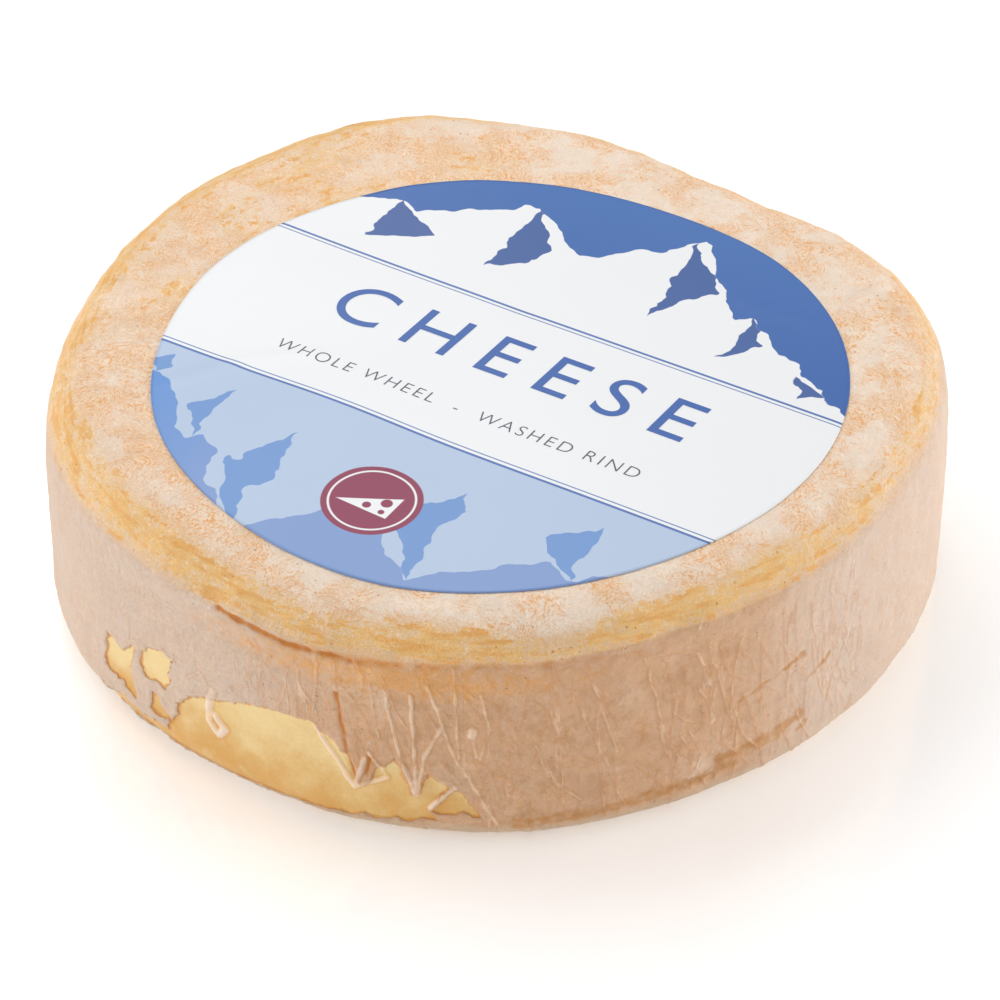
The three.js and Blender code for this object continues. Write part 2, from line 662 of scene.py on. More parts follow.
    def sculpt(self, rind: bpy.types.Object) -> None:
        """Raises and sinks the surface, and keeps the fields that the finish reads.

        Args:
            rind: The rind, which lies on the CAD shape.
        """
        mesh = rind.data
        points = points_of(mesh)
        normals = normals_of(mesh)
        self.chart(points, normals)
        turn, height, tilt = (self.fields[k] for k in ("turn", "height", "tilt"))

        side = smooth_step(52, 18, tilt) * smooth_step(-80, -30, tilt)
        rim = smooth_step(2, 22, tilt) * smooth_step(88, 66, tilt)
        off_label = self.clear_of_label(points)
        off_base = smooth_step(0.3, 5.0, height)

        plan = self.side_plan(turn, height)
        ragged = noise_at(points, 5.0, 4) * 1.5 + noise_at(points, 1.8, 2, 7.0) * 0.5
        torn = np.max([distance_inside(plan, self.unroll(p)) for p in TORN_PATCHES], axis=0)
        on_face = tilt > self.face_tilt
        torn = np.where(tilt < self.face_tilt, torn, -60.0) + ragged * 0.95

        ridge = np.zeros(len(points))
        groove = np.zeros(len(points))
        first, last = self.marked_turns
        near = (turn > first) & (turn < last) & (height < self.fine_heights[1]) & (side > 0.01)
        near_plan = plan[near] + 0.22 * np.column_stack([ragged[near], ragged[near]])
        uneven = 0.85 + 0.7 * noise_at(points[near], 4.0, 2, 9.0)
        skin = 1.0 - smooth_step(-0.5, 0.45, torn)
        for marks, where in ((MARKS, 1.0), (self.scattered_wrinkles(), skin[near])):
            for mark in marks:
                away = distance_to_line(near_plan, self.unroll(mark.line))
                rise = mark.lift * bump(away, 0.0, mark.width / 2) * uneven * where
                target = ridge if mark.kind is Crease.RIDGE else groove
                target[near] = np.maximum(target[near], rise)

        face_plan = points[on_face, :2] + 1.2 * ragged[on_face, None]
        for line, depth in FACE_CREASES:
            rise = depth * bump(distance_to_line(face_plan, line), 0.0, 1.6)
            groove[on_face] = np.maximum(groove[on_face], rise)

        dents = self.dents.at(points)
        drawn_out = self.fields["grain"] * (1.0, 1.0, 0.22)
        rolled = bump(torn, -0.9, 0.8) * (0.25 + 0.5 * dents)

        lift = self.lumps.lift * self.lumps.at(points) * off_base
        lift += self.dents.lift * dents * off_base
        lift += (self.streaks.lift * self.streaks.at(drawn_out) + 0.05) * skin * side
        lift -= self.pits.lift * np.abs(self.pits.at(points)) * (1 - side)
        lift += self.rim.lift * self.rim.at(points) * rim
        lift += ridge - groove
        lift += rolled * smooth_step(-6, -1, torn) - self.torn_depth * (1 - skin)
        lift *= np.where(tilt < -60, 0.0, 1.0) * off_label
        points += normals * lift[:, None]
        points[:, 2] = np.maximum(points[:, 2], 0.0)
        place_points(mesh, points)

        kept = {
            "grain": self.fields["grain"],
            "lean_left": self.fields["lean_left"],
            "lean_right": self.fields["lean_right"],
            "torn": torn,
            # Where the side is painted paler: a painted sheen on its left and right.
            "painted_side_sheen": self.painted_side_sheen(turn),
            "warmth": bump(height, 55, 9) * bump(turn, -104, 32) * side,
            "foot": smooth_step(14.0, 2.0, height) * smooth_step(-88, -70, tilt),
            "low": smooth_step(34.0, 3.0, height),
            "side": side,
            "groove": groove,
            "ridge": ridge,
            "stain": self.stains(plan, near, ragged),
            "gold": self.gold(turn, tilt, points),
        }
        for name, values in kept.items():
            store(mesh, name, values)

    def clear_of_label(self, points: np.ndarray) -> np.ndarray:
        """Fades the relief out under the label, so that the paper lies over it.

        Args:
            points: The points in millimetres.

        Returns:
            How much of the relief each point keeps, from zero to one.
        """
        low, high = (Vector(corner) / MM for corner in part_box("label"))
        middle = (low + high) / 2
        away = np.hypot(points[:, 0] - middle.x, points[:, 1] - middle.y)
        edge = (high.x - low.x) / 2
        under = smooth_step(edge + 2.5, edge - 1.5, away) * (points[:, 2] > self.height / 2)
        return 1.0 - under

    def stains(self, plan: np.ndarray, near: np.ndarray, ragged: np.ndarray) -> np.ndarray:
        """Works out how brown each point is.

        Args:
            plan: The points on the unrolled side.
            near: Which of them a mark may reach.
            ragged: A rough noise that frays the edges.

        Returns:
            The share of brown, from zero to one.
        """
        brown = np.zeros(len(plan))
        for line, width in STAINS:
            away = distance_to_line(plan[near], self.unroll(line)) + 0.6 * ragged[near]
            brown[near] = np.maximum(brown[near], smooth_step(1.1 * width, 0.0, away))
        return brown

    def painted_side_sheen(self, turn: np.ndarray) -> np.ndarray:
        """Works out where the side is painted paler and chalkier, a painted sheen: more to the left and
        right than at the front.
        """
        return np.maximum(smooth_step(-66, -40, turn), smooth_step(-100, -130, turn))

    def gold(self, turn: np.ndarray, tilt: np.ndarray, points: np.ndarray) -> np.ndarray:
        """Works out how waxy and golden the rounded edge is.

        The wear is a band over the rounded edge. It is low and narrow at the front, wide at
        the left and the right, and thin at the back.

        Args:
            turn: The points' turns.
            tilt: How far the surface is tilted up at each.
            points: The points in millimetres.

        Returns:
            The share of gold.
        """
        wander = noise_at(points, 30.0, 2, 31.0)
        centre = 38 + 10 * wander
        width = np.full(len(points), 22.0)
        strength = 0.7 + 0.3 * wander
        for place in GOLD_PLACES:
            share = bump(turn, place.turn, place.spread)
            centre += place.raised * share
            width += place.wider * share
            strength += place.stronger * share
        return bump(tilt, centre, width) * smooth_step(3, 16, tilt) * strength

    def build(self, finish: "RindFinish") -> bpy.types.Object:
        """Models, dresses and hands over the rind.

        Args:
            finish: The rind's material.

        Returns:
            The finished piece.
        """
        guide = self.guide()
        rind = self.blank()
        self.draw_on(rind, guide)
        self.sculpt(rind)
        rind.data.materials.append(finish.build())
        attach(rind, BODY)
        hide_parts(self.node)
        report(rind)
        return rind


@dataclass(frozen=True)
class RindFinish:
    """Washed and brushed cheese rind.

    The real skin is a dry film of yeasts and smear bacteria on pressed curd, rubbed with
    brine. It looks matt and slightly translucent, cream to tan, with fine fibrous wrinkles,
    scratches and pores. Where the skin is worn or torn, waxy golden rind shows.
    """

    cream: str = "#FFEBD8"
    peach: str = "#FEDAB8"
    tan: str = "#E4B994"
    tan_deep: str = "#D0A079"
    # Paler, less saturated skin painted on the left and right sides: a painted sheen.
    painted_sheen: str = "#E9D3C1"
    # The scratch orange also paints the shade in the wrinkles' troughs.
    scratch: str = "#F5AE58"
    wax: str = "#FFD18A"
    wax_deep: str = "#F8B35C"
    bare: str = "#F2D699"
    bare_deep: str = "#DFAA5C"
    bare_pale: str = "#E9D29C"
    # Painted shade: in the grooves, along the foot of the ridges, and under the torn skin's edge, where it
    # is partly the edge's damp colour.
    groove: str = "#DC8A38"
    pore: str = "#B9713A"
    stain: str = "#CB8C46"
    foot: str = "#DEC6A8"
    # Also paints the highlight on the ridges and on the wrinkles' crests.
    pale: str = "#F8E8DA"

    def patterns(self, add: Callable) -> dict[str, bpy.types.NodeSocket]:
        """Makes the rind's shared patterns.

        Args:
            add: Adds a node to the material.

        Returns:
            One value for each pattern, most of them from zero to one.
        """
        place = add("TexCoord", output="Object")
        mm = add("Mapping", {"Vector": place, "Scale": (1000, 1000, 1000)})
        found: dict[str, object] = {}
        for name in ("side", "torn", "groove", "ridge", "gold", "stain", "painted_side_sheen", "foot", "warmth", "low"):
            found[name] = add("Attribute", output="Fac", attribute_name=name)
        sizes = {"broad": 24.0, "patch": 13.0, "blotch": 6.0, "small": 2.6, "fine": 0.7}
        for index, (name, size) in enumerate(sizes.items()):
            found[name] = add(
                "TexNoise",
                {"Vector": mm, "W": 3.7 * index, "Scale": 1 / size, "Detail": 4.0, "Roughness": 0.6},
                noise_dimensions="4D",
            )

        # Wrinkles: each set runs one way and keeps to its own patches. A wrinkle is a pale line,
        # a painted highlight on its crest, with a dark line next to it, a painted shade in its
        # trough, 0.3 mm wide and some 20 mm long. The crest is raised and the trough sunk a
        # little in the relief too. Dashes are the short scratches of the brush, 0.5 mm wide
        # and 3 mm long.
        found["highlit_crest"] = found["shaded_trough"] = found["dash"] = 0.0
        sway = add("TexNoise", {"Vector": mm, "Scale": 1 / 16, "Detail": 1.0}, output="Color")
        patches = (("grain", 0.52, 0.62), ("lean_left", 0.46, 0.38), ("lean_right", 0.6, 0.7))
        for index, (name, none, full) in enumerate(patches):
            vector = add("Attribute", output="Vector", attribute_name=name)
            run = add("Mapping", {"Vector": vector, "Scale": (1 / 3.4, 1 / 3.4, 1 / 34)})
            level = add("TexNoise", {"Vector": run, "Scale": 1.0, "Detail": 1.0, "Roughness": 0.5})
            where = found["broad"] if index < 2 else found["patch"]
            here = add("MapRange", (where, none, full), interpolation_type="SMOOTHSTEP")
            here = add("Math", (here, found["side"]), operation="MULTIPLY")
            for key, middle in (("highlit_crest", 0.522), ("shaded_trough", 0.5)):
                away = add("Math", (level, middle), operation="SUBTRACT")
                away = add("Math", (away,), operation="ABSOLUTE")
                line = add("MapRange", (away, 0.0, 0.014, here, 0.0))
                found[key] = add("Math", (found[key], line), operation="MAXIMUM")
            swirl = add("VectorMath", (vector, sway, (22.0, 22.0, 22.0)), operation="MULTIPLY_ADD")
            run = add("Mapping", {"Vector": swirl, "Scale": (1 / 1.1, 1 / 1.1, 1 / 5.0)})
            level = add(
                "TexNoise",
                {"Vector": run, "W": 2.0 * index, "Scale": 1.0, "Detail": 3.0, "Roughness": 0.6},
                noise_dimensions="4D",
            )
            dash = add("MapRange", (level, 0.56, 0.61))
            found["dash"] = add("Math", (found["dash"], dash), operation="MAXIMUM")

        # Streaks round the wheel, left by turning and rubbing it.
        grain = add("Attribute", output="Vector", attribute_name="grain")
        round_run = add("Mapping", {"Vector": grain, "Scale": (1 / 13, 1 / 13, 1 / 2.8)})
        found["streak"] = add(
            "TexNoise", {"Vector": round_run, "Scale": 1.0, "Detail": 5.0, "Roughness": 0.66}
        )

        # Scratches from the brush: thin level lines of a warped noise, and a broader crinkle
        # along them.
        warp = add("TexNoise", {"Vector": mm, "Scale": 0.3, "Detail": 3.0}, output="Color")
        bent = add("VectorMath", (mm, warp, (5.0, 5.0, 5.0)), operation="MULTIPLY_ADD")
        level = add("TexNoise", {"Vector": bent, "Scale": 1 / 5, "Detail": 3.0, "Roughness": 0.55})
        away = add("Math", (level, 0.5), operation="SUBTRACT")
        away = add("Math", (away,), operation="ABSOLUTE")
        found["crinkle"] = add("MapRange", (away, 0.0, 0.06, 1.0, 0.0))
        scratch = add("MapRange", (away, 0.0, 0.012, 0.6, 0.0))
        scratch = add("Math", (scratch, found["dash"]), operation="MAXIMUM")
        busy = add("MapRange", (found["patch"], 0.4, 0.6, 0.35, 1.0), interpolation_type="SMOOTHSTEP")
        found["scratch"] = add("Math", (scratch, busy), operation="MULTIPLY")
        speck = add("MapRange", (found["fine"], 0.5, 0.68))
        mild = add("MapRange", (found["blotch"], 0.35, 0.65, 0.25, 1.0))
        found["speck"] = add("Math", (speck, mild), operation="MULTIPLY")

        # Pores: pinpricks of 0.3 to 0.8 mm, in loose swarms.
        cells = {"Vector": mm, "Scale": 1 / 2.3, "Randomness": 1.0}
        reach = add("TexVoronoi", cells, output="Distance")
        tint = add("TexVoronoi", cells, output="Color")
        size = add("MapRange", (add("SeparateColor", (tint,)), 0.25, 1.0, 0.0, 0.2))
        pore = add("Math", (size, reach), operation="SUBTRACT")
        pore = add("MapRange", (pore, 0.0, 0.05))
        swarm = add("MapRange", (found["broad"], 0.4, 0.62, 0.15, 0.9))
        swarm = add("Math", (swarm, found["warmth"]), operation="MAXIMUM")
        found["pore"] = add("Math", (pore, swarm), operation="MULTIPLY")

        # Worn edge: golden where the wear outweighs a jagged, streaky noise.
        jag = add("TexNoise", {"Vector": bent, "Scale": 1 / 8, "Detail": 4.0, "Roughness": 0.6})
        jag = add("Math", (jag, found["streak"]), operation="ADD")
        jag = add("Math", (jag, found["small"]), operation="ADD")
        jag = add("Math", (jag, 2.4, -3.6), operation="MULTIPLY_ADD")
        gate = add("MapRange", (found["gold"], 0.14, 0.4))
        marble = add(
            "TexNoise",
            {"Vector": bent, "Scale": 1 / 6, "Detail": 4.0, "Roughness": 0.6, "Distortion": 0.6},
        )
        marble = add("Math", (marble, 0.5), operation="SUBTRACT")
        marble = add("Math", (marble,), operation="ABSOLUTE")
        marble = add("MapRange", (marble, 0.0, 0.03, 1.0, 0.0))
        veined = add("MapRange", (found["gold"], 0.03, 0.2))
        found["marble"] = add("Math", (marble, veined), operation="MULTIPLY")
        worn = add("Math", (jag, gate, found["gold"]), operation="MULTIPLY_ADD")
        found["waxed"] = add("MapRange", (worn, 0.4, 0.8))

        # Torn skin: bare where the drawn outline, roughened, is passed.
        rough = add("Math", (found["small"], 1.2, -0.6), operation="MULTIPLY_ADD")
        found["depth"] = add("Math", (found["torn"], rough), operation="ADD")
        found["bare"] = add("MapRange", (found["depth"], -0.1, 0.1))
        return found

    def laid(self, add: Callable, under: object, layers: Iterable[tuple]) -> bpy.types.NodeSocket:
        """Lays colours over one another.

        Args:
            add: Adds a node to the material.
            under: The lowest colour.
            layers: For each layer its colour, its pattern, the pattern's values that mean
                none and all of it, and the most of it that shows.

        Returns:
            The mixed colour.
        """
        for colour, pattern, low, high, most in layers:
            share = add("MapRange", (pattern, low, high, 0.0, most), interpolation_type="SMOOTHSTEP")
            under = add("Mix", {0: share, 6: under, 7: colour}, data_type="RGBA")
        return under

    def colour(self, add: Callable, found: dict) -> bpy.types.NodeSocket:
        """Mixes the rind's colour.

        Args:
            add: Adds a node to the material.
            found: The patterns.

        Returns:
            The colour.
        """
        pairs = (
            ("side", "broad"), ("side", "blotch"), ("painted_side_sheen", "side"), ("warmth", "small"),
            ("side", "small"),
        )
        tans, deep, painted_sheen, warm, grainy = (
            add("Math", (found[one], found[other]), operation="MULTIPLY") for one, other in pairs
        )
        flecks = add("Math", (found["small"], found["streak"]), operation="ADD")
        browned = add("Math", (found["stain"], flecks), operation="MULTIPLY")
        footed = add("Math", (found["blotch"], 1.0), operation="ADD")
        footed = add("Math", (found["foot"], footed), operation="MULTIPLY")
        wax = self.laid(
            add,
            self.wax,
            (
                (self.wax_deep, found["streak"], 0.46, 0.66, 0.9),
                (self.pale, found["fine"], 0.6, 0.75, 0.3),
            ),
        )
        low = add("Math", (found["patch"], 2.0, found["low"]), operation="MULTIPLY_ADD")
        bare = self.laid(
            add,
            self.bare,
            (
                (self.bare_deep, low, 1.0, 2.1, 1.0),
                (self.bare_pale, found["blotch"], 0.55, 0.75, 0.5),
            ),
        )
        rubbed = add("MapRange", (found["side"], 0.0, 1.0, 1.0, 0.4))
        rubbed = add("Math", (rubbed, found["scratch"]), operation="MULTIPLY")
        # A thin line along the foot of each ridge, in the groove colour: a painted shade.
        beside = add("Math", (found["ridge"], 0.1), operation="SUBTRACT")
        beside = add("Math", (beside,), operation="ABSOLUTE")
        # A thin line along the torn skin's edge: a painted shadow under it, partly the edge's damp colour.
        torn_edge_shadow_and_damp = add("Math", (found["depth"], 0.25), operation="SUBTRACT")
        torn_edge_shadow_and_damp = add("Math", (torn_edge_shadow_and_damp,), operation="ABSOLUTE")
        torn_edge_shadow_and_damp = add("Math", (found["blotch"], 0.9, torn_edge_shadow_and_damp), operation="MULTIPLY_ADD")
        skin = self.laid(
            add,
            self.cream,
            (
                (self.peach, found["patch"], 0.38, 0.64, 0.8),
                (self.tan, tans, 0.1, 0.5, 1.0),
                (self.tan_deep, deep, 0.4, 0.75, 0.5),
                (self.tan_deep, grainy, 0.45, 0.68, 0.6),
                # Painted sheen: paler skin on the left and right.
                (self.painted_sheen, painted_sheen, 0.0, 1.0, 0.8),
                (self.scratch, warm, 0.2, 0.55, 0.6),
                (self.scratch, found["speck"], 0.1, 1.0, 0.3),
                (self.scratch, rubbed, 0.1, 0.9, 0.85),
                # Painted shade in the wrinkles' troughs, and a painted highlight on their crests.
                (self.scratch, found["shaded_trough"], 0.1, 1.0, 0.4),
                (self.pale, found["highlit_crest"], 0.1, 1.0, 0.5),
                (self.cream, found["gold"], 0.1, 0.7, 0.5),
                (self.wax, found["gold"], 0.1, 0.7, 0.4),
                (wax, found["waxed"], 0.0, 1.0, 0.92),
                (self.scratch, found["marble"], 0.2, 0.8, 0.8),
                (self.foot, footed, 0.6, 1.4, 0.7),
                (self.pore, found["pore"], 0.1, 0.9, 0.65),
                (self.stain, browned, 0.6, 1.15, 0.75),
                (bare, found["bare"], 0.0, 1.0, 1.0),
                # Painted shadow under the torn skin's edge, partly its damp colour.
                (self.groove, torn_edge_shadow_and_damp, 0.9, 0.45, 0.7),
                # Painted shade along the foot of the ridges.
                (self.groove, beside, 0.07, 0.02, 0.2),
                # Ridges painted peach and pale: a painted highlight on their crests, partly the rolled
                # skin's paler colour.
                (self.peach, found["ridge"], 0.13, 0.4, 0.75),
                (self.pale, found["ridge"], 0.3, 0.9, 0.65),
                # Grooves painted dark orange: a painted shade in them.
                (self.groove, found["groove"], 0.15, 0.7, 0.9),
            ),
        )
        speckle = add("MapRange", (found["fine"], 0.3, 0.7, 1.04, 0.95))
        return add("Mix", {0: 1.0, 6: skin, 7: speckle}, data_type="RGBA", blend_type="MULTIPLY")

    def relief(self, add: Callable, found: dict) -> bpy.types.NodeSocket:
        """Works out the fine relief.

        Args:
            add: Adds a node to the material.
            found: The patterns.

        Returns:
            The bumped normal.
        """
        heights = (
            ("fine", 0.08),
            ("small", 0.28),
            ("streak", 0.16),
            ("crinkle", -0.08),
            ("highlit_crest", 0.2),
            ("shaded_trough", -0.05),
            ("dash", 0.07),
            ("pore", -0.05),
        )
        height = 0.0
        for name, lift in heights:
            height = add("Math", (found[name], lift, height), operation="MULTIPLY_ADD")
        smoothed = add("MapRange", (found["bare"], 0.0, 1.0, 1.0, 0.15))
        height = add("Math", (height, smoothed), operation="MULTIPLY")
        height = add("Math", (found["bare"], -0.25, height), operation="MULTIPLY_ADD")
        return add("Bump", {"Height": height, "Strength": 0.8, "Distance": MM})

    def build(self) -> bpy.types.Material:
        """Builds the material.

        Returns:
            The material.
        """
        material = empty_material("washed_cheese_rind")
        add = partial(add_node, material.node_tree)
        found = self.patterns(add)
        gloss = add("Math", (found["waxed"], found["bare"]), operation="MAXIMUM")
        roughness = add("MapRange", (gloss, 0.0, 1.0, 0.6, 0.42))
        shader = add(
            "BsdfPrincipled",
            {
                "Base Color": self.colour(add, found),
                "Roughness": roughness,
                "IOR": 1.45,
                "Specular IOR Level": 0.4,
                "Subsurface Weight": 0.1,
                "Subsurface Radius": (1.0, 0.5, 0.25),
                "Subsurface Scale": 0.003,
                "Normal": self.relief(add, found),
            },
        )
        add("OutputMaterial", {"Surface": shader})
        return material


# --- The label ---------------------------------------------------------------------------


@dataclass(frozen=True)
class Artwork:
    """The label's printed layout, measured on its own plan.

    The plan's first axis runs along the white band, from its upper left to its lower right,
    and the second crosses it. Both are in millimetres from the label's middle.

    Attributes:
        slant: How far the band is turned from level, in degrees.
        band: The band's lower and upper edges.
        peaks: The peaks of a made-up mountain range: where each stands along the band, its
            height over the band, and its slope.
        seal: The middle of the round seal.
        seal_radius: Its radius.
    """

    slant: float = -32.7
    band: Point = (-38.5, 25.5)
    peaks: tuple[tuple[float, float, float], ...] = (
        (-70.0, 30.0, 0.45),
        (-34.0, 50.0, 0.8),
        (16.0, 60.0, 1.05),
        (47.0, 33.0, 0.8),
        (74.0, 13.0, 0.4),
    )
    seal: Point = (4.0, -68.0)
    seal_radius: float = 13.5


@dataclass(frozen=True)
class Line:
    """One line of plain lettering.

    Attributes:
        name: The piece's name.
        words: What it says.
        height: The height of its capitals in millimetres.
        middle: Its middle on the artwork's plan.
        spacing: The space between letters, as a share of the usual.
        weight: How much the strokes are thickened, in millimetres.
        ink: The ink's colour.
    """

    name: str
    words: str
    height: float
    middle: Point
    spacing: float
    weight: float
    ink: str


@dataclass
class Label:
    """The round paper label, draped over the face.

    Attributes:
        node: The CAD node that it stands for.
        thickness: The paper's drawn thickness in millimetres.
        clearance: The gap between the paper and the rind.
        rings: How many rings of faces it has.
        columns: How many faces go round it.
        strip: The width of the strips that the lettering is cut into, in millimetres.
        ink: How far the lettering stands over the paper.
        art: The printed layout.
        lines: The lettering.
    """

    node: str = "label"
    thickness: float = 0.22
    clearance: float = 0.12
    rings: int = 96
    columns: int = 300
    strip: float = 4.0
    ink: float = 0.05
    art: Artwork = field(default_factory=Artwork)
    lines: tuple[Line, ...] = (
        Line("title_print", "CHEESE", 19.0, (2.0, 2.5), 1.45, 0.0, "#3F66AC"),
        Line("caption_print", "WHOLE WHEEL  -  WASHED RIND", 4.6, (0.0, -23.5), 1.25, -0.1, "#4B505C"),
    )

    def middle(self) -> Vector:
        """The middle of the label's box, in millimetres."""
        low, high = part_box(self.node)
        return (low + high) / 2 / MM

    def radius(self) -> float:
        """The label's radius in millimetres."""
        low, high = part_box(self.node)
        return (high.x - low.x) / 2 / MM

    def drape(self, piece: bpy.types.Object, under: bpy.types.Object, lift: float) -> None:
        """Lets a flat piece down onto what lies under it.

        Args:
            piece: The piece, level with the floor.
            under: The rind, or the paper.
            lift: How far above it the piece stays, in millimetres.
        """
        tree = BVHTree.FromObject(under, bpy.context.evaluated_depsgraph_get())
        points = points_of(piece.data)
        for point in points:
            start = Vector((point[0] * MM, point[1] * MM, OVERHEAD))
            hit = tree.ray_cast(start, Vector((0, 0, -1)))[0]
            point[2] += hit.z / MM + lift
        place_points(piece.data, points)

    def paper(self, rind: bpy.types.Object) -> bpy.types.Object:
        """Cuts the paper disc and drapes it.

        Args:
            rind: The finished rind.

        Returns:
            The paper, not yet dressed.
        """
        middle, radius = self.middle(), self.radius()
        shape = bmesh.new()
        bmesh.ops.create_circle(
            shape, cap_ends=True, cap_tris=True, segments=self.columns, radius=radius * MM
        )
        spokes = [e for e in shape.edges if any(v.co.length < 1e-9 for v in e.verts)]
        bmesh.ops.subdivide_edges(shape, edges=spokes, cuts=self.rings - 1, use_grid_fill=True)
        bmesh.ops.translate(shape, verts=shape.verts, vec=Vector((middle.x, middle.y, 0)) * MM)
        bmesh.ops.recalc_face_normals(shape, faces=shape.faces)
        if shape.faces[0].normal.z < 0:
            bmesh.ops.reverse_faces(shape, faces=shape.faces)
        paper = finish_mesh(shape, "round_label")
        self.drape(paper, rind, self.clearance + self.thickness)
        points = points_of(paper.data)
        points[:, 2] += self.creases(points - np.array(middle))
        place_points(paper.data, points)
        store(paper.data, "plan", self.plan(points - np.array(middle)))
        wall = paper.modifiers.new("paper thickness", "SOLIDIFY")
        wall.thickness = self.thickness * MM
        wall.offset = -1.0
        bake_modifiers(paper)
        return paper

    def plan(self, places: np.ndarray) -> np.ndarray:
        """Turns places about the label's middle into the artwork's plan.

        Args:
            places: Places in millimetres from the label's middle.

        Returns:
            Places along and across the white band.
        """
        turn = math.radians(self.art.slant)
        along = places[:, 0] * math.cos(turn) + places[:, 1] * math.sin(turn)
        across = -places[:, 0] * math.sin(turn) + places[:, 1] * math.cos(turn)
        return np.column_stack([along, across, np.zeros(len(places))])

    def creases(self, places: np.ndarray) -> np.ndarray:
        """Raises the few soft creases that the paper took as it was smoothed down.

        Args:
            places: Places in millimetres from the label's middle.

        Returns:
            How far each place is raised, in millimetres.
        """
        folds = (
            (((-92, -6), (-70, 4), (-50, 6)), 3.0, 0.28),
            (((-58, -52), (-42, -46), (-30, -48)), 2.4, 0.2),
            (((70, 30), (86, 22)), 3.0, 0.2),
            (((-20, 70), (4, 84)), 3.5, 0.15),
        )
        rise = np.zeros(len(places))
        for line, width, lift in folds:
            rise += lift * bump(distance_to_line(places[:, :2], line), 0.0, width)
        return rise

    def lettering(self, line: Line, paper: bpy.types.Object) -> bpy.types.Object:
        """Prints one line of words on the label.

        Args:
            line: The line.
            paper: The draped paper.

        Returns:
            The finished piece.
        """
        curve = bpy.data.curves.new(line.name, "FONT")
        curve.body = line.words
        curve.size = line.height * MM / CAPITAL_SHARE
        curve.space_character = line.spacing
        curve.offset = line.weight * MM
        curve.align_x = "CENTER"
        curve.align_y = "CENTER"
        outline = bpy.data.objects.new(line.name + "_outline", curve)
        bpy.context.scene.collection.objects.link(outline)
        settled = outline.evaluated_get(bpy.context.evaluated_depsgraph_get())
        shape = bmesh.new()
        shape.from_mesh(bpy.data.meshes.new_from_object(settled))
        bpy.data.objects.remove(outline)

        # The letters are cut into strips, so that they can follow the paper.
        strips = round(max(abs(v.co.x) for v in shape.verts) / (self.strip * MM))
        for number in range(-strips, strips + 1):
            bmesh.ops.bisect_plane(
                shape,
                geom=[*shape.verts, *shape.edges, *shape.faces],
                plane_co=(number * self.strip * MM, 0, 0),
                plane_no=(1, 0, 0),
            )
        bmesh.ops.triangulate(shape, faces=shape.faces)
        turn = math.radians(self.art.slant)
        middle = self.middle()
        along, across = line.middle
        place = Vector((
            middle.x + along * math.cos(turn) - across * math.sin(turn),
            middle.y + along * math.sin(turn) + across * math.cos(turn),
            0.0,
        ))
        shape.transform(Matrix.Translation(place * MM) @ Matrix.Rotation(turn, 4, "Z"))
        letters = finish_mesh(shape, line.name, smooth=False)
        self.drape(letters, paper, self.ink)
        letters.data.materials.append(self.ink_finish(line))
        self.hand_over(letters)
        return letters

    def ink_finish(self, line: Line) -> bpy.types.Material:
        """Offset printing ink: a thin satin film, with the paper's own sheen.

        Args:
            line: The line that it prints.

        Returns:
            The material.
        """
        material = empty_material("printing_ink_" + line.name)
        add = partial(add_node, material.node_tree)
        film = {"Base Color": line.ink, "Roughness": 0.4, "IOR": 1.5, "Specular IOR Level": 0.4}
        add("OutputMaterial", {"Surface": add("BsdfPrincipled", film)})
        return material

    def hand_over(self, piece: bpy.types.Object) -> None:
        """Declares a piece of the label.

        Args:
            piece: The finished piece.
        """
        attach(piece, BODY)
        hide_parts(self.node)
        report(piece)

    def build(self, rind: bpy.types.Object, finish: "PaperFinish") -> bpy.types.Object:
        """Models, dresses and hands over the label.

        Args:
            rind: The finished rind.
            finish: The printed paper's material.

        Returns:
            The finished label.
        """
        paper = self.paper(rind)
        paper.data.materials.append(finish.build(self.art))
        self.hand_over(paper)
        for line in self.lines:
            self.lettering(line, paper)
        return paper


